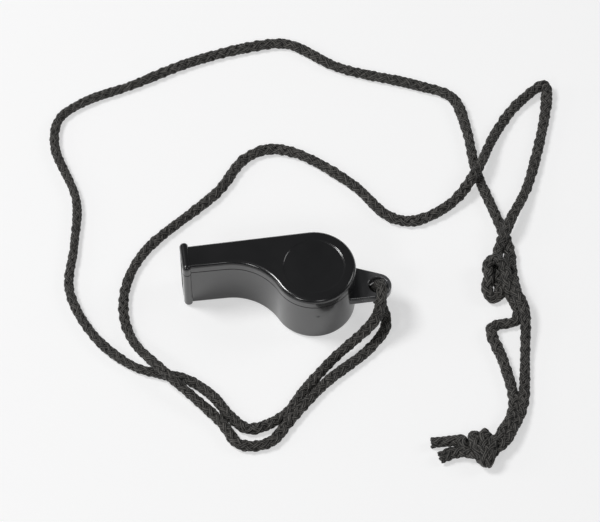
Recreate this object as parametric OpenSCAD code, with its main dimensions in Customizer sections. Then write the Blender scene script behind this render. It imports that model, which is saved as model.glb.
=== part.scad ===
// Pea whistle on a doubled lanyard, lying on its side.
// Origin: where the barrel's axis meets the face that the whistle lies on.
// +X runs from the mouthpiece to the lanyard eye, +Y to the window side, +Z up.

/* [Barrel] */
// Outer radius of the round barrel
barrel_r = 11.25; // [10.5:0.05:12]
// Width of the whistle across its two side faces
whistle_w = 19; // [18:0.5:22]
// Wall thickness of both mouldings
wall = 1.5; // [1.3:0.1:1.7]
// Radius that rounds the edge of each side face
edge_r = 1.2; // [0.6:0.1:1.3]
// Radius of the shallow round panel sunk in the cover
panel_r = 8.4; // [6:0.1:9]
// Depth of that panel
panel_depth = 0.3; // [0.1:0.05:0.4]

/* [Mouthpiece] */
// Distance from the barrel's axis to the mouth end
mouth_reach = 35; // [33:0.5:37]
// Depth of the mouthpiece where it meets the lip bead
mouth_depth = 6.9; // [6.7:0.1:7.5]
// Slope of the mouthpiece's underside, in degrees
underside_slope = 1.3; // [0:0.1:2]
// Radius of the hollow throat between the underside and the barrel
throat_r = 14.7; // [12:0.1:16]
// Length of the lip bead along the mouthpiece
lip_len = 2.3; // [1.6:0.1:3]
// How far the lip bead stands proud of the top and underside
lip_proud = 1; // [0.4:0.1:1.2]
// How far the lip bead stands proud of the cover's face
lip_face_proud = 0.5; // [0.2:0.1:0.8]

/* [Air way] */
// Length of the sounding window along the top
window_len = 5; // [4.6:0.1:5.5]
// Distance from the barrel's axis to the sharp edge of the window
window_edge = 1.5; // [1:0.1:2]
// Height of the air slit where it meets the window
slit_h = 1.5; // [1.2:0.1:1.8]

/* [Side cover] */
// Height of the side cover that closes the barrel
cover_h = 3; // [2.6:0.1:3.4]

/* [Pea] */
// Diameter of the loose ball in the barrel
pea_d = 9.5; // [8:0.1:9.5]

/* [Lanyard eye] */
// Distance of the eye from the barrel's axis along X
eye_x = 16.9; // [16.4:0.1:18]
// Distance of the eye towards the underside
eye_y = -3.3; // [-4:0.1:-2.5]
// Outer radius of the eye
eye_outer_r = 3.8; // [3.6:0.05:4]
// Radius of the hole through the eye
eye_hole_r = 2.35; // [2.2:0.05:2.6]
// Thickness of the lug that carries the eye
lug_t = 3; // [2.6:0.1:3.4]

/* [Lanyard] */
// Diameter of the braided cord
cord_d = 2.6; // [2.4:0.1:2.6]

/* [Hidden] */
$fn = 96;

plastic = [0.05, 0.05, 0.055];
pea_colour = [0.72, 0.58, 0.40];
cord_colour = [0.12, 0.12, 0.13];

eps = 0.01;
// Length that a cutter runs past the face it cuts through
past = 5;
body_h = whistle_w - cover_h;
chamber_r = barrel_r - wall;
plate_top = whistle_w - wall;

// The underside is a line from the mouth end that falls away at underside_slope.
along_under = [cos(underside_slope), -sin(underside_slope)];
out_of_under = [-sin(underside_slope), -cos(underside_slope)];
under_start = [-mouth_reach, barrel_r - mouth_depth];
// The throat's circle touches that line and the barrel's circle from outside.
throat_off = under_start * out_of_under + throat_r;
throat_along = -sqrt(pow(barrel_r + throat_r, 2) - throat_off * throat_off);
throat_c = throat_off * out_of_under + throat_along * along_under;
under_end = throat_c - throat_r * out_of_under;
barrel_touch = throat_c * (barrel_r / (barrel_r + throat_r));

window_start = -window_edge - window_len;
window_end = -window_edge;
slit_top = barrel_r - wall;
slit_floor = slit_top - slit_h;
// How far the air way's floor slopes down below the window, past its end in the chamber
slit_run_out = 3;
// Length of the air way's wide part behind the mouth end, and where the core pocket starts
wide_mouth_len = 12;
pocket_start = -mouth_reach + 15;
// Thickness left under the air way's floor where the core pocket starts
pocket_floor = 1.1;
// The outer face of the barrel's wall rises from the window's sharp edge in a shallow ramp.
ramp_end_x = 4;
ramp_end_y = sqrt(barrel_r * barrel_r - ramp_end_x * ramp_end_x);
sharp_edge_t = 0.15;
ramp_edge_y = sqrt(chamber_r * chamber_r - window_edge * window_edge) + sharp_edge_t;

// Room between the ball at rest and the chamber's wall and floor, and its place round the wall
pea_wall_gap = 0.15;
pea_floor_gap = 0.05;
pea_rest_angle = -20;

lip_corner_r = 0.9;
lug_mid_z = whistle_w / 2;
// Angle at which the far side of the lug's web leaves the eye
web_angle = 66.5;
// Where the web's two edges end inside the barrel's wall
web_root_x = 9.5;
lug_root_x = 8;
// The moulding gate's small round mark under the barrel
gate_r = 0.5;
gate_angle = -92.5;
gate_z = 11.5;
gate_depth = 0.15;

// Routes of the lanyard's two strands from the middle of the eye to the end knot.
// A stretch that lies on the floor has its centre at half the cord's diameter.
outer_route = [
    [16.6, -3.3, 9.3], [17.5, -3.6, 11.5], [17.6, -6.2, 12.6], [17, -8.7, 11.3], [14.9, -12.2, 7.8],
    [2, -20, 2.2], [-6, -27.3, 1.6], [-13, -34.5, 1.5], [-22.5, -37.2, 1.4], [-27, -33, 1.4],
    [-31, -26, 1.4], [-37.5, -19.8, 1.4], [-44, -17.4, 1.4], [-51.2, -13.8, 1.4], [-60.4, -3.3, 1.4],
    [-65.7, 12, 1.4], [-63.1, 26, 1.4], [-61, 41, 1.4], [-65.2, 60, 1.4], [-63, 69, 1.4],
    [-55, 74, 1.4], [-42, 77.5, 1.4], [-24, 83.3, 1.4], [-6, 86.3, 1.4], [4.5, 85.8, 1.4],
    [18, 75.6, 1.4], [39, 66.5, 1.4], [48.4, 60.8, 1.4], [50.6, 50, 1.4], [51, 35, 1.4],
    [54.5, 16.5, 1.4], [55.5, 8, 1.4], [55.1, 2.4, 1.4], [54.8, -2.5, 2.3], [54.8, -7, 3.6],
    [55.9, -12, 3.6], [53.8, -26, 1.4], [50.3, -41, 1.6], [46.4, -47.6, 2.6], [44, -50.6, 2.8]
];
inner_route = [
    [16.6, -3.3, 9.3], [15.8, -2.6, 7.3], [17.3, -5.8, 5.4], [18.1, -11.5, 3.1], [13, -17.2, 1.6],
    [0, -25.8, 1.4], [-10.5, -35, 1.4], [-18, -42, 1.4], [-25.7, -41.4, 1.4], [-29.7, -34.3, 1.6],
    [-43.4, -17.8, 4.1], [-50, -7, 2], [-51.8, 2, 1.4], [-50, 12, 1.4], [-43.6, 22, 1.4],
    [-21.6, 38.4, 1.4], [-13, 48, 1.4], [-6, 50.5, 1.4], [2, 48, 1.4], [16, 35.5, 1.4],
    [24.5, 23.7, 1.4], [31, 21.3, 1.4], [42.4, 25.4, 2], [50.8, 33.7, 4.1], [58, 46, 2],
    [66.5, 56, 1.5], [75, 60.5, 2.6], [74.7, 55.5, 1.7], [64.5, 28.5, 1.9], [56.6, 15.3, 4.1],
    [52.4, 7.9, 1.6], [52.6, -0.5, 2.4], [54.1, -8.6, 1.4], [54.3, -11.6, 1.4], [53.4, -14.2, 1.4],
    [46.6, -15.6, 1.4], [47.8, -26, 1.4], [48.6, -38, 1.4], [46.4, -44.6, 2.7], [43.4, -48.2, 3]
];
// The two tails past the end knot end in the cord's own cut ends.
tail_long_route = [[34.5, -49.5, 2.4], [30.1, -48.3, 1.6], [24.6, -48.1, 1.5]];
tail_short_route = [[34.5, -52.5, 2.2], [29.9, -51.8, 1.6], [26.1, -52.8, 1.5]];
// Each knot's centre in plan, its length, breadth and height, and its turn about +Z.
slide_knot_centre = [50.2, -1];
slide_knot_size = [9.4, 13.4, 5.4];
slide_knot_turn = -8;
end_knot_centre = [38.6, -52.2];
end_knot_size = [12.6, 11, 5.6];
end_knot_turn = 15;

// ---- outlines -------------------------------------------------------------

// Plan of the whistle's side face, drawn inside the true edge by d.
module side_outline(d = 0) {
    circle(r = barrel_r - d);
    difference() {
        polygon([
            [-mouth_reach, barrel_r - d],
            [0, barrel_r - d],
            [0, 0],
            barrel_touch,
            under_end - d * out_of_under,
            under_start - d * out_of_under
        ]);
        translate(throat_c) circle(r = throat_r + d, $fn = 180);
    }
}

// Plan of the three hollows between the mouldings: chamber, air way and core pocket.
module hollows_outline() {
    circle(r = chamber_r);
    air_way_outline();
    core_pocket_outline();
}

module air_way_outline() {
    mouth_floor = barrel_r - mouth_depth + wall;
    polygon([
        [-mouth_reach - past, slit_top],
        [window_end, slit_top],
        [window_end, slit_floor - slit_run_out],
        [window_start, slit_floor],
        [-mouth_reach + wide_mouth_len, mouth_floor],
        [-mouth_reach - past, mouth_floor]
    ]);
}

// The hollow between the air way's floor, the throat and the chamber's wall.
module core_pocket_outline() {
    difference() {
        polygon([
            [pocket_start, barrel_r - mouth_depth + wall - pocket_floor],
            [window_start - 1, slit_floor - wall],
            [0, 0],
            barrel_touch,
            under_end
        ]);
        circle(r = barrel_r);
        translate(throat_c) circle(r = throat_r + wall, $fn = 180);
    }
}

// ---- whistle --------------------------------------------------------------

// A strip that rounds the square edge along +X at y = 0, z = 0 of a block with y >= 0 inside.
module edge_rounder(len) {
    rotate([90, 0, 90]) linear_extrude(height = len) difference() {
        translate([-1, -1]) square(edge_r + 1);
        translate([edge_r, edge_r]) circle(r = edge_r);
    }
}

// The whistle's side plan, h high, with the edge of its lower face rounded.
module rounded_side(h) {
    rotate_extrude($fn = 180) {
        square([barrel_r - edge_r, h]);
        translate([0, edge_r]) square([barrel_r, h - edge_r]);
        translate([barrel_r - edge_r, edge_r]) intersection() {
            circle(r = edge_r);
            translate([0, -edge_r]) square(edge_r * 2);
        }
    }
    difference() {
        linear_extrude(height = h) side_outline();
        translate(throat_c) throat_rounder();
        translate([-mouth_reach - eps, barrel_r, 0]) mirror([0, 1, 0])
            edge_rounder(mouth_reach + eps);
        translate(under_start) rotate([0, 0, -underside_slope])
            edge_rounder(norm(under_end - under_start));
    }
}

// The ring that rounds the lower edge of the throat.
module throat_rounder() {
    rotate_extrude($fn = 180) difference() {
        translate([0, -1]) square([throat_r + edge_r, edge_r + 1]);
        translate([throat_r + edge_r, edge_r]) circle(r = edge_r);
    }
}

// The bead round the mouth end, with rounded long edges, between two heights.
module lip_bead(low, high) {
    top_y = barrel_r + lip_proud;
    bottom_y = barrel_r - mouth_depth - lip_proud;
    r = lip_corner_r;
    intersection() {
        translate([-mouth_reach, 0, 0]) rotate([90, 0, 90]) linear_extrude(height = lip_len) {
            translate([bottom_y + r, 0]) square([top_y - bottom_y - 2 * r, whistle_w + lip_face_proud]);
            translate([bottom_y, r])
                square([top_y - bottom_y, whistle_w + lip_face_proud - 2 * r]);
            for (y = [bottom_y + r, top_y - r], z = [r, whistle_w + lip_face_proud - r])
                translate([y, z]) circle(r = r, $fn = 48);
        }
        translate([-mouth_reach - 1, bottom_y - 1, low]) cube([lip_len + 2, top_y - bottom_y + 2, high - low]);
    }
}

// The sounding window's gap and the ramp on the barrel beyond it, between the side plates.
module window_cut(low, high) {
    translate([0, 0, low]) linear_extrude(height = high - low) polygon([
        [window_start, slit_top - 1],
        [window_end, slit_top - 1],
        [window_end, ramp_edge_y],
        [ramp_end_x, ramp_end_y],
        [ramp_end_x, barrel_r + past],
        [window_start, barrel_r + past]
    ]);
}

// The flat lug with the lanyard's eye.
module lug() {
    tip = [eye_x + eye_outer_r * cos(web_angle), eye_y + eye_outer_r * sin(web_angle)];
    root_y = tip[1] + (tip[0] - web_root_x) * tan(90 - web_angle);
    translate([0, 0, lug_mid_z - lug_t / 2]) linear_extrude(height = lug_t) {
        translate([eye_x, eye_y]) circle(r = eye_outer_r);
        polygon([
            [lug_root_x, eye_y - eye_outer_r],
            [eye_x, eye_y - eye_outer_r],
            tip,
            [web_root_x, root_y],
            [lug_root_x, 0]
        ]);
    }
}

// The main moulding: far side plate, all the walls, half of the lip bead, and the lug.
module body() {
    color(plastic) difference() {
        union() {
            rounded_side(body_h);
            lip_bead(0, body_h);
            lug();
        }
        translate([0, 0, wall]) linear_extrude(height = body_h) hollows_outline();
        window_cut(wall, body_h + 1);
        translate([eye_x, eye_y, 0]) cylinder(r = eye_hole_r, h = whistle_w);
        rotate([0, 0, gate_angle]) translate([barrel_r - gate_depth, 0, gate_z])
            rotate([0, 90, 0]) cylinder(r = gate_r, h = 1, $fn = 32);
    }
}

// The side cover, welded on the body's walls.
module side_cover() {
    color(plastic) difference() {
        union() {
            translate([0, 0, whistle_w]) mirror([0, 0, 1]) rounded_side(cover_h);
            lip_bead(body_h, whistle_w + lip_face_proud);
        }
        translate([0, 0, body_h - 1]) linear_extrude(height = 1 + plate_top - body_h) hollows_outline();
        window_cut(body_h - 1, plate_top);
        translate([0, 0, whistle_w - panel_depth]) cylinder(r = panel_r, h = 1);
    }
}

// The loose ball, lying on the far side plate against the chamber's wall.
module pea() {
    orbit = chamber_r - pea_d / 2 - pea_wall_gap;
    color(pea_colour)
        translate([orbit * cos(pea_rest_angle), orbit * sin(pea_rest_angle), wall + pea_floor_gap + pea_d / 2])
            sphere(r = pea_d / 2);
}

// ---- lanyard --------------------------------------------------------------

function unit(v) = v / norm(v);

// Direction of a route at its point i.
function heading(route, i) =
    unit(route[min(i + 1, len(route) - 1)] - route[max(i - 1, 0)]);

// One ring of the tube: points round the route's point i, square to its heading.
// The small lean keeps the ring's sideways direction defined where the route runs upright.
function ring(route, i, sides) =
    let (
        t = heading(route, i),
        lean = [0, 0.02, 0],
        across = unit(cross([0, 0, 1], t + lean)),
        up = cross(t, across)
    )
    [for (k = [0 : sides - 1])
        route[i] + cord_d / 2 * (cos(360 * (k + 0.5) / sides) * across + sin(360 * (k + 0.5) / sides) * up)];

// A cord swept along a route as one closed tube of eight sides.
module cord_along(route, sides = 8) {
    rings = len(route);
    color(cord_colour) polyhedron(
        points = [for (i = [0 : rings - 1]) each ring(route, i, sides)],
        faces = concat(
            [[for (k = [0 : sides - 1]) k]],
            [for (i = [0 : rings - 2], k = [0 : sides - 1])
                let (a = i * sides + k, b = i * sides + (k + 1) % sides)
                each [[a, a + sides, b], [b, a + sides, b + sides]]],
            [[for (k = [sides - 1 : -1 : 0]) (rings - 1) * sides + k]]
        )
    );
}

// The rough solid of a knot: a squat barrel with rounded ends, lying on the floor.
module knot_lump(centre, size, turn) {
    color(cord_colour) translate([centre[0], centre[1], size[2] / 2]) rotate([0, 0, turn])
        hull() for (x = [-1, 1], y = [-1, 1])
            translate([x * (size[0] - size[2]) / 2, y * (size[1] - size[2]) / 2, 0])
                sphere(r = size[2] / 2, $fn = 16);
}

body();
side_cover();
pea();
cord_along(outer_route);  // cord_outer_strand
cord_along(inner_route);  // cord_inner_strand
knot_lump(slide_knot_centre, slide_knot_size, slide_knot_turn);  // slide_knot
knot_lump(end_knot_centre, end_knot_size, end_knot_turn);  // end_knot
cord_along(tail_long_route);  // cord_tail_long
cord_along(tail_short_route);  // cord_tail_short
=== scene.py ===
"""Pea whistle on a doubled, knotted lanyard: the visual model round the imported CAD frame."""
import math
import random

import bmesh
import bpy
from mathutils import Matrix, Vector


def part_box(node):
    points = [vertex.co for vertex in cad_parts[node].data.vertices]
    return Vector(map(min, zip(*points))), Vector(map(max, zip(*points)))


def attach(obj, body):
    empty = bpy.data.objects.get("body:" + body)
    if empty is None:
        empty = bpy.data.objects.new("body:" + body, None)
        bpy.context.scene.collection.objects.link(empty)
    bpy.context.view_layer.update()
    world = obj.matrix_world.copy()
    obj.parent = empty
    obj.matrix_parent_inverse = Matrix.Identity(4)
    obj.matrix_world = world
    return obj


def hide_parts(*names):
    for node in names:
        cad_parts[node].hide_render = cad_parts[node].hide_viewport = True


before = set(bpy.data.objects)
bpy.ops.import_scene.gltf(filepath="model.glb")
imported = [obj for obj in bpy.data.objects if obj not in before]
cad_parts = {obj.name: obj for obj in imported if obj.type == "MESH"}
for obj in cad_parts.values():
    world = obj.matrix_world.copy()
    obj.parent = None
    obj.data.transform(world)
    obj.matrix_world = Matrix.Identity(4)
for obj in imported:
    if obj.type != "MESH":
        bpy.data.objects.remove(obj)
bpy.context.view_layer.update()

MM = 0.001

# ---- sizes, in millimetres ----

BODY_LOW, BODY_HIGH = (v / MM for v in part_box("body"))
COVER_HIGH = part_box("side_cover")[1] / MM
PEA_LOW, PEA_HIGH = (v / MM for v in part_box("pea"))

WALL = 1.5
BARREL_R = -BODY_LOW.y
CHAMBER_R = BARREL_R - WALL
SEAM_Z = BODY_HIGH.z
LIP_FACE_PROUD = 0.5
FACE_Z = COVER_HIGH.z - LIP_FACE_PROUD
PLATE_TOP = FACE_Z - WALL
MOUTH_X = BODY_LOW.x
MOUTH_DEPTH = 6.9
UNDER_SLOPE = math.radians(1.3)
THROAT_R = 14.7
EDGE_R = 1.2
SEAM_GAP = 0.3
SEAM_DEPTH = 0.35
LIP_LEN = 2.3
LIP_PROUD = BODY_HIGH.y - BARREL_R
LIP_CORNER_R = 1.2
LIP_FRONT_R = 1.2
LIP_BACK_R = 0.95
# The side walls end this far behind the mouth's end, inside the lip bead.
WALLS_START = 0.6
# The sounding window, from its start towards the mouth to its sharp edge
WINDOW_EDGE_X = -1.5
WINDOW_START_X = WINDOW_EDGE_X - 5.0
SHARP_EDGE_T = 0.15
RAMP_END_X = 4.0
SLIT_H = 1.5
SLIT_RUN_OUT = 3
WIDE_MOUTH_LEN = 12
POCKET_START = 15
POCKET_RISE = 0.4
PANEL_R = 8.4
PANEL_DEPTH = 0.18
PANEL_STEP = 0.45
EYE = Vector((16.9, -3.3, (BODY_LOW.z + FACE_Z) / 2))
EYE_OUTER_R = BODY_HIGH.x - EYE.x
EYE_HOLE_R = 2.35
EYE_FLARE = 0.55
LUG_T = 3.0
LUG_EDGE_R = 0.75
WEB_ANGLE = math.radians(66.5)
WEB_ROOT_X = 9.5
LUG_ROOT_X = 8.0
GATE_ANGLE = math.radians(-92.5)
GATE_Z = 11.5
GATE_R = 0.5
GATE_DEPTH = 0.09
# Length that a cutter runs past the face it cuts through
PAST = 3
# Radius at which a turned solid's profile starts and ends, small enough to close it
ON_AXIS = 0.001

# ---- camera ----

CAMERA_AZIMUTH = math.radians(-7.95)
CAMERA_ELEVATION = math.radians(58.48)
CAMERA_DISTANCE = 0.8
CAMERA_LENS = 174.2
CAMERA_AIM = Vector((-0.0019, 0.0136, 0.0))


def make_camera():
    """A long lens that looks down from the near side, a little to the left."""
    back = Vector((
        math.sin(CAMERA_AZIMUTH) * math.cos(CAMERA_ELEVATION),
        -math.cos(CAMERA_AZIMUTH) * math.cos(CAMERA_ELEVATION),
        math.sin(CAMERA_ELEVATION),
    ))
    data = bpy.data.cameras.new("camera")
    data.sensor_width = 36
    data.lens = CAMERA_LENS
    data.clip_start = 0.01
    camera = bpy.data.objects.new("camera", data)
    bpy.context.scene.collection.objects.link(camera)
    camera.location = CAMERA_AIM + back * CAMERA_DISTANCE
    camera.rotation_mode = "QUATERNION"
    camera.rotation_quaternion = (-back).to_track_quat("-Z", "Y")
    bpy.context.scene.camera = camera


make_camera()

# ---- mesh helpers ----


def new_object(name, points, faces):
    """A smooth mesh object from points in millimetres."""
    mesh = bpy.data.meshes.new(name)
    mesh.from_pydata([tuple(Vector(p) * MM) for p in points], [], faces)
    mesh.validate()
    mesh.polygons.foreach_set("use_smooth", [True] * len(mesh.polygons))
    obj = bpy.data.objects.new(name, mesh)
    bpy.context.scene.collection.objects.link(obj)
    return obj


def loft(name, loops):
    """A closed solid through loops of equally many points, capped at both ends."""
    count = len(loops[0])
    points = [p for loop in loops for p in loop]
    faces = [list(range(count))[::-1]]
    for i in range(len(loops) - 1):
        for k in range(count):
            a, b = i * count + k, i * count + (k + 1) % count
            faces.append([a, b, b + count, a + count])
    faces.append(list(range((len(loops) - 1) * count, len(loops) * count)))
    return new_object(name, points, faces)


def lathe(name, profile, centre, steps=96):
    """A solid turned about +Z at centre from (radius, height) pairs, both ends on the axis."""
    rings = [
        [
            (
                centre[0] + r * math.cos(math.tau * k / steps),
                centre[1] + r * math.sin(math.tau * k / steps),
                z,
            )
            for k in range(steps)
        ]
        for r, z in profile
    ]
    return loft(name, rings)


def prism(name, outline, low, high):
    """An upright prism over a plan outline given counterclockwise."""
    return loft(name, [[(x, y, z) for x, y in outline] for z in (low, high)])


def combine(target, tool, operation):
    """Boolean of two solids, applied to the first; the second is removed."""
    modifier = target.modifiers.new("boolean", "BOOLEAN")
    modifier.object = tool
    modifier.operation = operation
    modifier.solver = "EXACT"
    graph = bpy.context.evaluated_depsgraph_get()
    made = bpy.data.meshes.new_from_object(target.evaluated_get(graph))
    target.modifiers.clear()
    target.data = made
    bpy.data.objects.remove(tool)


def finish_moulding(obj, angle=34):
    """Cleans a moulding's mesh and gives it crisp creases between smooth faces."""
    work = bmesh.new()
    work.from_mesh(obj.data)
    bmesh.ops.remove_doubles(work, verts=work.verts, dist=2e-6)
    bmesh.ops.dissolve_degenerate(work, dist=1e-6, edges=work.edges)
    bmesh.ops.recalc_face_normals(work, faces=work.faces)
    work.to_mesh(obj.data)
    work.free()
    obj.data.polygons.foreach_set("use_smooth", [True] * len(obj.data.polygons))
    obj.data.set_sharp_from_angle(angle=math.radians(angle))
    weighted = obj.modifiers.new("weighted_normals", "WEIGHTED_NORMAL")
    weighted.keep_sharp = True
    weighted.weight = 100


def arc(centre, radius, start, end, steps):
    """Plan points on an arc, both ends included; angles in radians."""
    return [
        (
            centre[0] + radius * math.cos(start + (end - start) * i / steps),
            centre[1] + radius * math.sin(start + (end - start) * i / steps),
        )
        for i in range(steps + 1)
    ]


def inset(outline, distance):
    """The counterclockwise outline moved inwards by distance, point for point."""
    moved = []
    for i, here in enumerate(outline):
        before, after = Vector(outline[i - 1]), Vector(outline[(i + 1) % len(outline)])
        first = (Vector(here) - before).normalized()
        second = (after - Vector(here)).normalized()
        inward = Vector((-first.y - second.y, first.x + second.x)).normalized()
        reach = max(0.5, inward.dot(Vector((-first.y, first.x))))
        moved.append(tuple(Vector(here) + inward * distance / reach))
    return moved


def ring(outline, shrink, z):
    """A loop at height z round the outline moved inwards by shrink."""
    return [(x, y, z) for x, y in inset(outline, shrink)]


def rounding(radius, steps=8):
    """(inset, height) pairs from the side wall up to the flat face of a rounded edge."""
    turns = [math.pi / 2 * i / steps for i in range(steps + 1)]
    return [(radius * (1 - math.cos(t)), radius * math.sin(t)) for t in turns]


# ---- the whistle's mouldings ----


def under_line():
    """Start of the underside's line, its direction, and the direction out of it."""
    start = Vector((MOUTH_X, BARREL_R - MOUTH_DEPTH))
    along = Vector((math.cos(UNDER_SLOPE), -math.sin(UNDER_SLOPE)))
    out = Vector((-math.sin(UNDER_SLOPE), -math.cos(UNDER_SLOPE)))
    return start, along, out


def throat_centre():
    """Centre of the throat's circle, which touches the underside's line and the barrel."""
    start, along, out = under_line()
    off = start.dot(out) + THROAT_R
    back = -math.sqrt((BARREL_R + THROAT_R) ** 2 - off ** 2)
    return out * off + along * back


def side_outline():
    """The side face's outline, counterclockwise from where the throat meets the barrel."""
    start, _, out = under_line()
    centre = throat_centre()
    barrel_from = math.atan2(centre.y, centre.x)
    line_end = centre - out * THROAT_R
    throat_from = math.atan2(line_end.y - centre.y, line_end.x - centre.x)
    throat_to = math.atan2(-centre.y, -centre.x)
    end_x = MOUTH_X + WALLS_START
    points = arc((0, 0), BARREL_R, barrel_from, math.pi / 2, 150)
    points += [(MOUTH_X * t, BARREL_R) for t in (0.25, 0.5, 0.75)]
    points += [(end_x, BARREL_R), (end_x, start.y + 0.01)]
    points += arc(centre, THROAT_R, throat_from, throat_to, 60)[:-1]
    return points


def core_pocket(low, high):
    """The hollow between the air way's floor, the throat and the chamber's wall."""
    start, _, out = under_line()
    centre = throat_centre()
    touch = centre * (BARREL_R / (BARREL_R + THROAT_R))
    pocket = prism("core_pocket", [
        tuple(centre - out * THROAT_R),
        tuple(touch),
        (0, 0),
        (WINDOW_START_X - 1, BARREL_R - 2 * WALL - SLIT_H),
        (MOUTH_X + POCKET_START, start.y + POCKET_RISE),
    ], low, high)
    for round_at, radius in (((0, 0), BARREL_R), (tuple(centre), THROAT_R + WALL)):
        circle = arc(round_at, radius, 0, math.tau, 180)[:-1]
        drum = prism("drum", circle, low - PAST, high + PAST)
        combine(pocket, drum, "DIFFERENCE")
    return pocket


def hollow_tools(low, high):
    """Solids of the chamber, the air way and the core pocket between two heights."""
    slit_top = BARREL_R - WALL
    mouth_floor = BARREL_R - MOUTH_DEPTH + WALL
    air_way = prism("air_way", [
        (MOUTH_X - PAST, slit_top),
        (MOUTH_X - PAST, mouth_floor),
        (MOUTH_X + WIDE_MOUTH_LEN, mouth_floor),
        (WINDOW_START_X, slit_top - SLIT_H),
        (WINDOW_EDGE_X, slit_top - SLIT_H - SLIT_RUN_OUT),
        (WINDOW_EDGE_X, slit_top),
    ], low, high)
    chamber = prism("chamber", arc((0, 0), CHAMBER_R, 0, math.tau, 160)[:-1], low, high)
    return [chamber, air_way, core_pocket(low, high)]


def window_tool(low, high):
    """The sounding window's gap, with the shallow ramp beyond its sharp edge."""
    edge_y = math.sqrt(CHAMBER_R ** 2 - WINDOW_EDGE_X ** 2) + SHARP_EDGE_T
    return prism("window", [
        (WINDOW_START_X, CHAMBER_R - 1),
        (WINDOW_EDGE_X, CHAMBER_R - 1),
        (WINDOW_EDGE_X, edge_y),
        (RAMP_END_X, math.sqrt(BARREL_R ** 2 - RAMP_END_X ** 2)),
        (RAMP_END_X, BARREL_R + PAST),
        (WINDOW_START_X, BARREL_R + PAST),
    ], low, high)


def lip_half(name, upper):
    """The lip bead's share of one moulding, on its side of the weld."""
    bottom, top = BARREL_R - MOUTH_DEPTH - LIP_PROUD, BARREL_R + LIP_PROUD
    outer_z, way = (COVER_HIGH.z, -1) if upper else (0.0, 1)
    groove_z = SEAM_Z - SEAM_GAP
    smallest_r = 0.15
    front = [(LIP_FRONT_R - h, d) for d, h in reversed(rounding(LIP_FRONT_R, 6))]
    back = [(LIP_LEN - LIP_BACK_R + h, d) for d, h in rounding(LIP_BACK_R, 6)]
    loops = []
    for along, shrink in front + back:
        radius = max(LIP_CORNER_R - shrink, smallest_r)
        near, far = bottom + shrink, top - shrink
        low = outer_z + way * (max(LIP_CORNER_R, shrink) - radius)
        if upper:
            row = [(near, SEAM_Z)]
        else:
            row = [(near + SEAM_DEPTH, SEAM_Z), (near + SEAM_DEPTH, groove_z), (near, groove_z)]
        for centre_y, start in ((near + radius, math.pi), (far - radius, 1.5 * math.pi)):
            for y, h in arc((centre_y, 0), radius, start, start + math.pi / 2, 8):
                row.append((y, low + way * (h + radius)))
        if upper:
            row += [(far, SEAM_Z)]
        else:
            row += [(far, groove_z), (far - SEAM_DEPTH, groove_z), (far - SEAM_DEPTH, SEAM_Z)]
        loop = [(MOUTH_X + along, y, z) for y, z in row]
        loops.append(loop[::-1] if upper else loop)
    return loft(name, loops)


def lug_outline():
    """Plan of the lug, counterclockwise from its near corner inside the barrel's wall."""
    tip = (EYE.x + EYE_OUTER_R * math.cos(WEB_ANGLE), EYE.y + EYE_OUTER_R * math.sin(WEB_ANGLE))
    root_y = tip[1] + (tip[0] - WEB_ROOT_X) / math.tan(WEB_ANGLE)
    return (
        [(LUG_ROOT_X, EYE.y - EYE_OUTER_R), (LUG_ROOT_X + 4, EYE.y - EYE_OUTER_R)]
        + arc((EYE.x, EYE.y), EYE_OUTER_R, -math.pi / 2, WEB_ANGLE, 40)
        + [(WEB_ROOT_X, root_y), (LUG_ROOT_X, 0.0)]
    )


def make_lug():
    """The flat lug, with its edges rounded on both faces."""
    outline = lug_outline()
    low, high = EYE.z - LUG_T / 2, EYE.z + LUG_T / 2
    levels = [(d, low + LUG_EDGE_R - h) for d, h in reversed(rounding(LUG_EDGE_R))]
    levels += [(d, high - LUG_EDGE_R + h) for d, h in rounding(LUG_EDGE_R)]
    return loft("lug", [ring(outline, d, z) for d, z in levels])


def eye_tool():
    """The eye's hole with rounded rims on both faces."""
    half = LUG_T / 2
    end_h = half + 1
    upper = [
        (EYE_HOLE_R + EYE_FLARE * (1 - math.cos(a)), half - EYE_FLARE + EYE_FLARE * math.sin(a))
        for a in [math.radians(d) for d in (0, 15, 30, 45, 60, 72)]
    ]
    upper += [(EYE_HOLE_R + EYE_FLARE * 1.6, end_h)]
    profile = [(ON_AXIS, -end_h)]
    profile += [(r, -h) for r, h in upper[::-1]]
    profile += upper
    profile += [(ON_AXIS, end_h)]
    return lathe("eye_tool", [(r, EYE.z + h) for r, h in profile], (EYE.x, EYE.y), 72)


def gate_tool():
    """The small round dimple of the moulding gate, in the barrel's near side."""
    x = BARREL_R * math.cos(GATE_ANGLE)
    circle = arc((x, GATE_Z), GATE_R, 0, math.tau, 32)[:-1]
    floor = BARREL_R * math.sin(GATE_ANGLE) + GATE_DEPTH
    return loft("gate", [[(u, y, w) for u, w in circle] for y in (floor, floor - PAST)])


def make_body():
    """The main moulding: far side plate, walls, lug, and the groove below the weld."""
    outline = side_outline()
    groove_z = SEAM_Z - SEAM_GAP
    loops = [ring(outline, d, EDGE_R - h) for d, h in reversed(rounding(EDGE_R))]
    loops += [ring(outline, 0, groove_z), ring(outline, SEAM_DEPTH, groove_z)]
    loops += [ring(outline, SEAM_DEPTH, SEAM_Z)]
    body = loft("body", loops)
    combine(body, lip_half("lip", False), "UNION")
    combine(body, make_lug(), "UNION")
    for tool in hollow_tools(WALL, SEAM_Z + PAST):
        combine(body, tool, "DIFFERENCE")
    combine(body, window_tool(WALL, SEAM_Z + PAST), "DIFFERENCE")
    combine(body, eye_tool(), "DIFFERENCE")
    combine(body, gate_tool(), "DIFFERENCE")
    finish_moulding(body)
    return body


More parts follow.
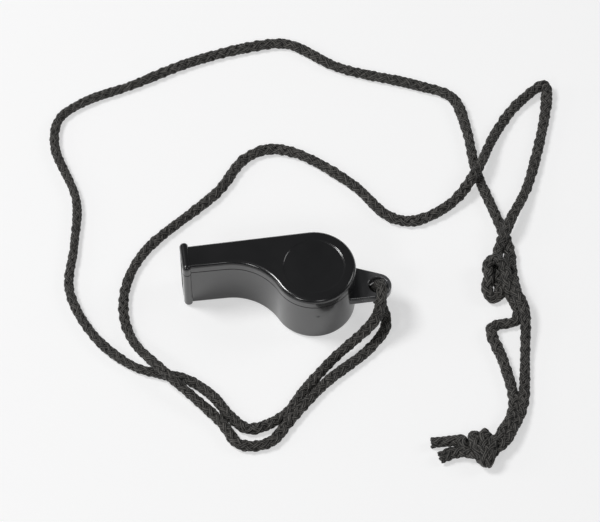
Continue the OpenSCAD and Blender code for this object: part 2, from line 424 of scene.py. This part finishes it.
def panel_tool():
    """The sunk round panel, with a soft step all round."""
    deep = FACE_Z - PANEL_DEPTH
    rise = [i / 10 for i in range(11)]
    outer_r = PANEL_R + 0.3
    profile = [(ON_AXIS, deep)]
    profile += [(PANEL_R - PANEL_STEP * (1 - t), deep + PANEL_DEPTH * t * t * (3 - 2 * t)) for t in rise]
    profile += [(outer_r, FACE_Z + 0.02), (outer_r, FACE_Z + PAST), (ON_AXIS, FACE_Z + PAST)]
    return lathe("panel", profile, (0, 0), 160)


def make_cover():
    """The side cover, with its sunk panel and its share of the lip bead."""
    outline = side_outline()
    loops = [[(x, y, SEAM_Z) for x, y in outline]]
    loops += [ring(outline, d, FACE_Z - EDGE_R + h) for d, h in rounding(EDGE_R)]
    cover = loft("side_cover", loops)
    combine(cover, lip_half("lip", True), "UNION")
    for tool in hollow_tools(SEAM_Z - PAST, PLATE_TOP):
        combine(cover, tool, "DIFFERENCE")
    combine(cover, window_tool(SEAM_Z - PAST, PLATE_TOP), "DIFFERENCE")
    combine(cover, panel_tool(), "DIFFERENCE")
    finish_moulding(cover)
    return cover


# ---- the lanyard ----

# The two strands' routes, as in part.scad; both start in the middle of the eye.
OUTER_ROUTE = [
    (16.6, -3.3, 9.3), (17.5, -3.6, 11.5), (17.6, -6.2, 12.6), (17, -8.7, 11.3), (14.9, -12.2, 7.8),
    (2, -20, 2.2), (-6, -27.3, 1.6), (-13, -34.5, 1.5), (-22.5, -37.2, 1.4), (-27, -33, 1.4),
    (-31, -26, 1.4), (-37.5, -19.8, 1.4), (-44, -17.4, 1.4), (-51.2, -13.8, 1.4), (-60.4, -3.3, 1.4),
    (-65.7, 12, 1.4), (-63.1, 26, 1.4), (-61, 41, 1.4), (-65.2, 60, 1.4), (-63, 69, 1.4),
    (-55, 74, 1.4), (-42, 77.5, 1.4), (-24, 83.3, 1.4), (-6, 86.3, 1.4), (4.5, 85.8, 1.4),
    (18, 75.6, 1.4), (39, 66.5, 1.4), (48.4, 60.8, 1.4), (50.6, 50, 1.4), (51, 35, 1.4),
    (54.5, 16.5, 1.4), (55.5, 8, 1.4), (55.1, 2.4, 1.4), (54.8, -2.5, 2.3), (54.8, -7, 3.6),
    (55.9, -12, 3.6), (53.8, -26, 1.4), (50.3, -41, 1.6), (46.4, -47.6, 2.6), (44, -50.6, 2.8),
]
INNER_ROUTE_TO_KNOT = [
    (16.6, -3.3, 9.3), (15.8, -2.6, 7.3), (17.3, -5.8, 5.4), (18.1, -11.5, 3.1), (13, -17.2, 1.6),
    (0, -25.8, 1.4), (-10.5, -35, 1.4), (-18, -42, 1.4), (-25.7, -41.4, 1.4), (-29.7, -34.3, 1.6),
    (-43.4, -17.8, 4.1), (-50, -7, 2), (-51.8, 2, 1.4), (-50, 12, 1.4), (-43.6, 22, 1.4),
    (-21.6, 38.4, 1.4), (-13, 48, 1.4), (-6, 50.5, 1.4), (2, 48, 1.4), (16, 35.5, 1.4),
    (24.5, 23.7, 1.4), (31, 21.3, 1.4), (42.4, 25.4, 2), (50.8, 33.7, 4.1), (58, 46, 2),
    (66.5, 56, 1.5), (75, 60.5, 2.6), (74.7, 55.5, 1.7), (64.5, 28.5, 1.9), (56.6, 15.3, 4.1),
    (52.4, 7.9, 1.6),
]
INNER_ROUTE_FROM_KNOT = [
    (54.1, -8.6, 1.4), (54.3, -11.6, 1.4), (53.4, -14.2, 1.4), (46.6, -15.6, 1.4), (47.8, -26, 1.4),
    (48.6, -38, 1.4), (46.4, -44.6, 2.7), (43.4, -48.2, 3),
]
SLIDE_KNOT_LOOP = [
    (51.4, 4.9, 1.4), (50.6, 1.7, 1.4), (50.8, -1.2, 1.4), (51.2, -3.6, 1.4), (49.8, -6, 1.4),
    (48, -6, 1.6), (47.3, -4, 2.1), (47.8, -1.6, 2.5), (48.5, 0.3, 2.8), (48.3, 2.2, 3.3),
    (49.4, 4, 3.9), (51, 4.1, 4.4), (52.4, 2.7, 4.3), (53, 0.8, 3.9), (53, -1.3, 3.5),
    (52.9, -3.4, 3.1), (53.2, -5.9, 1.9),
]
OUTER_TAIL = [(32.9, -49.1, 2.4), (30.1, -48.3, 1.6), (24.6, -48.1, 1.5)]
INNER_TAIL = [(32.6, -52.1, 2.2), (29.9, -51.8, 1.6), (26.1, -52.8, 1.5)]
SLIDE_KNOT_AT = Vector((50.2, -1, 2.4))
END_KNOT_AT = Vector((34, -51.5, 2.8))

# The end knot: each strand winds round the knot's axis, wide in the middle and with its
# turns drawn together on one side.
WRAPS_FROM = Vector((41.8, -52.6, 3.0))
WRAPS_TO = Vector((32.8, -52.2, 2.8))
WRAP_TURNS = 1.5
WRAP_POINTS = 12
WRAPS_WIDE = 1.6
WRAPS_BULGE = 3.0
WRAPS_HIGH = 1.5
WRAPS_PINCH = 0.75
PINCH_AT = 0.36


def wraps(first):
    """Points of one strand's turns round the end knot's axis, from an angle in turns."""
    axis = WRAPS_TO - WRAPS_FROM
    across = Vector((axis.y, -axis.x, 0)).normalized()
    points = []
    for i in range(WRAP_POINTS + 1):
        share = i / WRAP_POINTS
        angle = math.tau * (first + WRAP_TURNS * share)
        wide = WRAPS_WIDE + WRAPS_BULGE * math.sin(math.pi * share)
        narrow = 1 - WRAPS_PINCH * (1 - math.cos(angle)) / 2
        middle = WRAPS_FROM + axis * (PINCH_AT + (share - PINCH_AT) * narrow)
        point = middle + across * (wide * math.cos(angle))
        point.z += WRAPS_HIGH * math.sin(angle)
        points.append(point)
    return points


def smooth_route(points, step, per_span=24):
    """A centripetal Catmull-Rom curve through the points, sampled about every step."""
    knots = [Vector(p) for p in points]
    knots = [knots[0] * 2 - knots[1]] + knots + [knots[-1] * 2 - knots[-2]]
    fine = []
    for i in range(1, len(knots) - 2):
        a, b, c, d = knots[i - 1:i + 3]
        times = [0.0]
        for p, q in ((a, b), (b, c), (c, d)):
            times.append(times[-1] + math.sqrt((q - p).length))
        for k in range(per_span):
            t = times[1] + (times[2] - times[1]) * k / per_span
            ab = a.lerp(b, (t - times[0]) / (times[1] - times[0]))
            bc = b.lerp(c, (t - times[1]) / (times[2] - times[1]))
            cd = c.lerp(d, (t - times[2]) / (times[3] - times[2]))
            abc = ab.lerp(bc, (t - times[0]) / (times[2] - times[0]))
            bcd = bc.lerp(cd, (t - times[1]) / (times[3] - times[1]))
            fine.append(abc.lerp(bcd, (t - times[1]) / (times[2] - times[1])))
    fine.append(knots[-2])
    return evenly(fine, step)


def evenly(line, step):
    """Points a step apart along a line of points."""
    even = [line[0]]
    spare = 0.0
    for p, q in zip(line, line[1:]):
        gap = (q - p).length
        while spare + gap >= step:
            p = p.lerp(q, (step - spare) / gap)
            even.append(p)
            gap = (q - p).length
            spare = 0.0
        spare += gap
    return even


# The braid: plaits that wind both ways round the cord and pass over and under each other.
UP = Vector((0, 0, 1))
PLAITS = 8
BRAID_PITCH = 12.0
BRAID_R = 0.9
BRAID_SHIFT = 0.4
BRAID_STEP = 0.4
PLAIT_SIDES = 6
PLAIT_WIDE = 0.62
PLAIT_HIGH = 0.42
PLAIT_LIFT = 0.21
# The direction across turns this share of the way to level at each step, where the path is
# not steeper than this
LEVELLING = 0.25
LEVEL_ENOUGH = 0.3
# How far the soft braid strays from a true one: in turns, shape, tightness and each plait's size
TWIST = 0.6
FLAT = 0.05
FLATTER = 0.13
SLACK = 0.05
LEAN = 0.12
FAT = 0.1
# Its fullness, how much thinner it is drawn on the far -X side, and how it swells at its knots
FULL = 1.03
DRAWN_THIN = 0.16
THIN_FROM_X = -45
THIN_OVER = 8
SWELL = 0.1
SWELL_REACH = 10


def wander(rng, *periods):
    """A smooth random function of length, between -1 and 1, from sines of the given periods."""
    waves = [(math.tau / period, rng.uniform(0, math.tau)) for period in periods]
    return lambda along: sum(math.sin(rate * along + shift) for rate, shift in waves) / len(waves)


def fullness(point):
    """How full the soft braid is: drawn thin on the far -X side, and swollen at its knots."""
    near = min((point - knot).length for knot in (SLIDE_KNOT_AT, END_KNOT_AT))
    drawn = DRAWN_THIN / (1 + math.exp((point.x - THIN_FROM_X) / THIN_OVER))
    return FULL - drawn + SWELL * math.exp(-(near / SWELL_REACH) ** 2)


def ahead_at(path, i):
    """Direction of a path at its point i."""
    return (path[min(i + 1, len(path) - 1)] - path[max(i - 1, 0)]).normalized()


def path_frames(path):
    """Two directions square to the path at each point, turning smoothly, the first near level."""
    across = UP.cross(path[1] - path[0])
    frames = []
    for i in range(len(path)):
        ahead = ahead_at(path, i)
        level = UP.cross(ahead)
        if level.length > LEVEL_ENOUGH:
            same_way = 1 if level.dot(across) > 0 else -1
            across = across.lerp(level.normalized() * same_way, LEVELLING)
        across = (across - ahead * across.dot(ahead)).normalized()
        frames.append((across.copy(), ahead.cross(across)))
    return frames


def plait_points(centres, outs, sizes):
    """Rings of points round one plait, wide along the braid's surface, none below the floor."""
    points = []
    for i, (centre, out, size) in enumerate(zip(centres, outs, sizes)):
        ahead = ahead_at(centres, i)
        out = (out - ahead * out.dot(ahead)).normalized()
        side = ahead.cross(out)
        for k in range(PLAIT_SIDES):
            a = math.tau * k / PLAIT_SIDES
            point = centre + (out * PLAIT_HIGH * math.cos(a) + side * PLAIT_WIDE * math.sin(a)) * size
            point.z = max(point.z, 0.0)
            points.append(point)
    return points


def plait_faces(start, count):
    """Faces and UV corners of a capped tube of count rings, whose points begin at start."""
    faces, corners = [], []
    du, dv = 1 / PLAIT_SIDES, BRAID_STEP / BRAID_PITCH
    for i in range(count - 1):
        for k in range(PLAIT_SIDES):
            a = start + i * PLAIT_SIDES + k
            b = start + i * PLAIT_SIDES + (k + 1) % PLAIT_SIDES
            faces.append([a, b, b + PLAIT_SIDES, a + PLAIT_SIDES])
            u, v = k / PLAIT_SIDES, i * BRAID_STEP / BRAID_PITCH
            corners += [(u, v), (u + du, v), (u + du, v + dv), (u, v + dv)]
    last = start + (count - 1) * PLAIT_SIDES
    faces.append([start + k for k in reversed(range(PLAIT_SIDES))])
    faces.append([last + k for k in range(PLAIT_SIDES)])
    corners += [(0, 0)] * (2 * PLAIT_SIDES)
    return faces, corners


def braid(name, path, seed):
    """A soft round braid of eight plaits along a path of even steps."""
    rng = random.Random(seed)
    flatten, twist, slack = wander(rng, 61, 23), wander(rng, 47, 19), wander(rng, 16, 7.3)
    frames = path_frames(path)
    points, faces, corners = [], [], []
    for plait in range(PLAITS):
        way = 1 if plait % 2 else -1
        first = math.tau * (plait // 2) / (PLAITS / 2) + (BRAID_SHIFT if way > 0 else 0)
        fat, lean = wander(rng, 5.1, 2.9), wander(rng, 9, 4.3)
        centres, outs, sizes = [], [], []
        for i, (middle, (across, upright)) in enumerate(zip(path, frames)):
            along = i * BRAID_STEP
            angle = first + way * (math.tau * along / BRAID_PITCH + LEAN * lean(along))
            rise = PLAIT_LIFT * way * math.cos(PLAITS / 2 * (angle - BRAID_SHIFT / 2))
            angle += TWIST * twist(along)
            oval = FLATTER * flatten(along) + FLAT
            out = (
                across * (math.cos(angle) * (1 + oval))
                + upright * (math.sin(angle) * (1 - 0.6 * max(oval, 0)))
            )
            reach = BRAID_R + rise + SLACK * slack(along)
            swell = fullness(middle)
            centres.append(middle + out * reach * swell)
            outs.append(out.normalized())
            sizes.append((1 + FAT * fat(along)) * swell)
        new_faces, new_corners = plait_faces(len(points), len(path))
        points += plait_points(centres, outs, sizes)
        faces += new_faces
        corners += new_corners
    obj = new_object(name, points, faces)
    layer = obj.data.uv_layers.new(name="plait")
    for i, corner in enumerate(corners):
        layer.data[i].uv = corner
    return obj


def make_cord(name, route, nodes, seed):
    """One strand of the lanyard, which stands for the CAD nodes of that strand."""
    path = smooth_route(route, BRAID_STEP)
    piece = braid(name, path, seed)
    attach(piece, "root")
    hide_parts(*nodes)
    return piece


def make_cords():
    """The lanyard's two strands, each from the eye through its knots to its cut tail."""
    outer = OUTER_ROUTE + wraps(0.5) + OUTER_TAIL
    inner = INNER_ROUTE_TO_KNOT + SLIDE_KNOT_LOOP + INNER_ROUTE_FROM_KNOT + wraps(0.0) + INNER_TAIL
    outer_nodes = ("cord_outer_strand", "cord_tail_long")
    inner_nodes = ("cord_inner_strand", "slide_knot", "end_knot", "cord_tail_short")
    return [
        make_cord("cord_outer", outer, outer_nodes, seed=3),
        make_cord("cord_inner", inner, inner_nodes, seed=8),
    ]


# ---- materials ----


def new_material(name):
    """A node material, with its nodes, its links and its main shader."""
    material = bpy.data.materials.new(name)
    material.use_nodes = True
    nodes = material.node_tree.nodes
    return material, nodes, material.node_tree.links, nodes["Principled BSDF"]


def add(nodes, kind, **values):
    """A new shader node, with values for its inputs by their names, written with _ for a space."""
    node = nodes.new("ShaderNode" + kind)
    for name, value in values.items():
        node.inputs[name.replace("_", " ")].default_value = value
    return node


def add_ramp(nodes, *stops):
    """A colour ramp with two stops, each a position and a colour."""
    ramp = nodes.new("ShaderNodeValToRGB")
    for element, (position, colour) in zip(ramp.color_ramp.elements, stops):
        element.position = position
        element.color = (*colour, 1)
    return ramp


def set_shader(shader, **values):
    """Sets values of a shader's inputs, by their names, written with _ for a space."""
    for name, value in values.items():
        shader.inputs[name.replace("_", " ")].default_value = value


def black_plastic():
    """Glossy black moulding, slightly uneven, with painted light on the lug past the barrel, where the
    barrel shades it.
    """
    material, nodes, links, shader = new_material("black_plastic")
    place = add(nodes, "TexCoord")
    cloud = add(nodes, "TexNoise", Scale=90, Detail=4)
    tint = add_ramp(nodes, (0.3, (0.009, 0.009, 0.0095)), (0.8, (0.015, 0.015, 0.0155)))
    gloss = add(nodes, "MapRange", To_Min=0.16, To_Max=0.3)
    side = add(nodes, "SeparateXYZ")
    # Painted light: the plastic turns lighter within 1.5 mm beyond the barrel, lifting the shade that
    # the barrel casts on the lug.
    lug_light_mask = add(nodes, "MapRange", From_Min=BARREL_R * MM, From_Max=(BARREL_R + 1.5) * MM)
    # A colour mix has its sockets at 0 (factor), 6 and 7 (colours), and its result at 2.
    lug_painted_light = add(nodes, "Mix")
    lug_painted_light.data_type = "RGBA"
    # Painted light: the lighter colour given to the shaded lug.
    lug_painted_light.inputs[7].default_value = (0.08, 0.08, 0.082, 1)
    grain = add(nodes, "TexNoise", Scale=900, Detail=3)
    bump = add(nodes, "Bump", Strength=0.04, Distance=0.0002)
    links.new(place.outputs["Object"], cloud.inputs["Vector"])
    links.new(place.outputs["Object"], grain.inputs["Vector"])
    links.new(place.outputs["Object"], side.inputs["Vector"])
    links.new(cloud.outputs["Fac"], tint.inputs["Fac"])
    links.new(side.outputs["X"], lug_light_mask.inputs["Value"])
    links.new(lug_light_mask.outputs["Result"], lug_painted_light.inputs[0])
    links.new(tint.outputs["Color"], lug_painted_light.inputs[6])
    links.new(lug_painted_light.outputs[2], shader.inputs["Base Color"])
    links.new(cloud.outputs["Fac"], gloss.inputs["Value"])
    links.new(gloss.outputs["Result"], shader.inputs["Roughness"])
    links.new(grain.outputs["Fac"], bump.inputs["Height"])
    links.new(bump.outputs["Normal"], shader.inputs["Normal"])
    set_shader(shader, IOR=1.5, Coat_Weight=0.8, Coat_Roughness=0.1, Coat_IOR=1.5)
    return material


def braided_cord():
    """Matt black braid, with fine yarns along each plait, some of them greyer."""
    material, nodes, links, shader = new_material("braided_cord")
    plait = add(nodes, "UVMap")
    plait.uv_map = "plait"
    yarns = add(nodes, "TexWave", Scale=1.9, Distortion=4.5, Detail=3, Detail_Scale=3)
    yarns.bands_direction = "X"
    stretch = add(nodes, "Mapping", Scale=(5, 9, 1))
    fibre = add(nodes, "TexNoise", Scale=3, Detail=5, Roughness=0.7)
    both = add(nodes, "Math")
    both.operation = "MULTIPLY"
    tint = add_ramp(nodes, (0.1, (0.008, 0.008, 0.0075)), (0.6, (0.15, 0.143, 0.132)))
    bump = add(nodes, "Bump", Strength=0.8, Distance=0.0002)
    links.new(plait.outputs["UV"], yarns.inputs["Vector"])
    links.new(plait.outputs["UV"], stretch.inputs["Vector"])
    links.new(stretch.outputs["Vector"], fibre.inputs["Vector"])
    links.new(yarns.outputs["Fac"], both.inputs[0])
    links.new(fibre.outputs["Fac"], both.inputs[1])
    links.new(both.outputs["Value"], tint.inputs["Fac"])
    links.new(tint.outputs["Color"], shader.inputs["Base Color"])
    links.new(both.outputs["Value"], bump.inputs["Height"])
    links.new(bump.outputs["Normal"], shader.inputs["Normal"])
    set_shader(shader, Roughness=0.6, Specular_IOR_Level=0.35, Sheen_Weight=0.08, Sheen_Roughness=0.4)
    return material


def cork():
    """Cork, in small cells from dark to light brown."""
    material, nodes, links, shader = new_material("cork")
    place = add(nodes, "TexCoord")
    cells = add(nodes, "TexVoronoi", Scale=900)
    tint = add_ramp(nodes, (0, (0.25, 0.14, 0.06)), (1, (0.62, 0.42, 0.22)))
    bump = add(nodes, "Bump", Strength=0.5, Distance=0.0003)
    links.new(place.outputs["Object"], cells.inputs["Vector"])
    links.new(cells.outputs["Distance"], tint.inputs["Fac"])
    links.new(tint.outputs["Color"], shader.inputs["Base Color"])
    links.new(cells.outputs["Distance"], bump.inputs["Height"])
    links.new(bump.outputs["Normal"], shader.inputs["Normal"])
    set_shader(shader, Roughness=0.8)
    return material


# ---- the pea ----

PEA_RIPPLE = 0.006
RIPPLE_RATES = (4100, 3700, 3900)
RIPPLE_SHIFTS = (0, 1, 2)


def make_pea():
    """The loose ball, slightly uneven, where the CAD's ball rests."""
    centre = (PEA_LOW + PEA_HIGH) / 2
    radius = (PEA_HIGH.x - PEA_LOW.x) / 2
    mesh = bpy.data.meshes.new("pea_ball")
    work = bmesh.new()
    bmesh.ops.create_icosphere(work, subdivisions=5, radius=radius * MM)
    for vert in work.verts:
        waves = zip(vert.co, RIPPLE_RATES, RIPPLE_SHIFTS)
        ripple = math.prod(math.sin(at * rate + shift) for at, rate, shift in waves)
        vert.co *= 1 - PEA_RIPPLE * abs(ripple)
        vert.co += centre * MM
    work.to_mesh(mesh)
    work.free()
    mesh.polygons.foreach_set("use_smooth", [True] * len(mesh.polygons))
    pea = bpy.data.objects.new("pea_ball", mesh)
    bpy.context.scene.collection.objects.link(pea)
    return pea


# ---- stage and light ----


def make_stage():
    """A wide white floor, whose shadows are fainter to the camera than to the object."""
    mesh = bpy.data.meshes.new("floor")
    reach = 3.0
    corners = [(-reach, -reach, 0), (reach, -reach, 0), (reach, reach, 0), (-reach, reach, 0)]
    mesh.from_pydata(corners, [], [(0, 1, 2, 3)])
    floor = bpy.data.objects.new("floor", mesh)
    bpy.context.scene.collection.objects.link(floor)
    material, nodes, links, shader = new_material("floor_paper")
    rays = add(nodes, "LightPath")
    for socket, seen, unseen in (("Base Color", 0.52, 0.78), ("Emission Strength", 0.53, 0.27)):
        shade = add(nodes, "MapRange", To_Min=unseen, To_Max=seen)
        links.new(rays.outputs["Is Camera Ray"], shade.inputs["Value"])
        links.new(shade.outputs["Result"], shader.inputs[socket])
    set_shader(shader, Emission_Color=(1, 1, 1, 1), Roughness=0.9, Specular_IOR_Level=0.0)
    floor.data.materials.append(material)


def area_light(name, place, size, power):
    """A round light at a place in metres, turned to the origin."""
    data = bpy.data.lights.new(name, "AREA")
    data.shape = "DISK"
    data.size = size
    data.energy = power
    light = bpy.data.objects.new(name, data)
    bpy.context.scene.collection.objects.link(light)
    light.location = place
    light.rotation_mode = "QUATERNION"
    light.rotation_quaternion = (-Vector(place)).to_track_quat("-Z", "Y")


def make_light():
    """A dim studio and five soft lights, the strongest above on the far left."""
    world = bpy.data.worlds.new("studio")
    bpy.context.scene.world = world
    world.use_nodes = True
    world.node_tree.nodes["Background"].inputs["Color"].default_value = (0.085, 0.086, 0.09, 1)
    world.node_tree.nodes["Background"].inputs["Strength"].default_value = 1.0
    area_light("key", (-0.7, 0.3, 1.15), size=0.45, power=10.8)
    area_light("front_left", (-0.75, -0.75, 0.95), size=0.35, power=2.0)
    area_light("front", (0.15, -1.0, 1.0), size=0.4, power=1.1)
    area_light("right", (1.0, 0.1, 0.7), size=0.5, power=1.5)
    area_light("left", (-1.15, 0.15, 0.45), size=0.5, power=1.2)


# ---- the scene ----


def dress(piece, material, body="root"):
    """Gives a piece its material and the body that it rides on."""
    piece.data.materials.clear()
    piece.data.materials.append(material)
    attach(piece, body)


cord_stuff = braided_cord()
for cord_piece in make_cords():
    cord_piece.data.materials.append(cord_stuff)

plastic = black_plastic()
body_piece = make_body()
cover_piece = make_cover()
pea_piece = make_pea()
body_piece.name = "whistle_body"
cover_piece.name = "whistle_side_cover"
dress(body_piece, plastic)
dress(cover_piece, plastic)
dress(pea_piece, cork(), body="pea")
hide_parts("body")
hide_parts("side_cover")
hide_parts("pea")

make_stage()
make_light()
bpy.context.scene.view_settings.view_transform = "Standard"
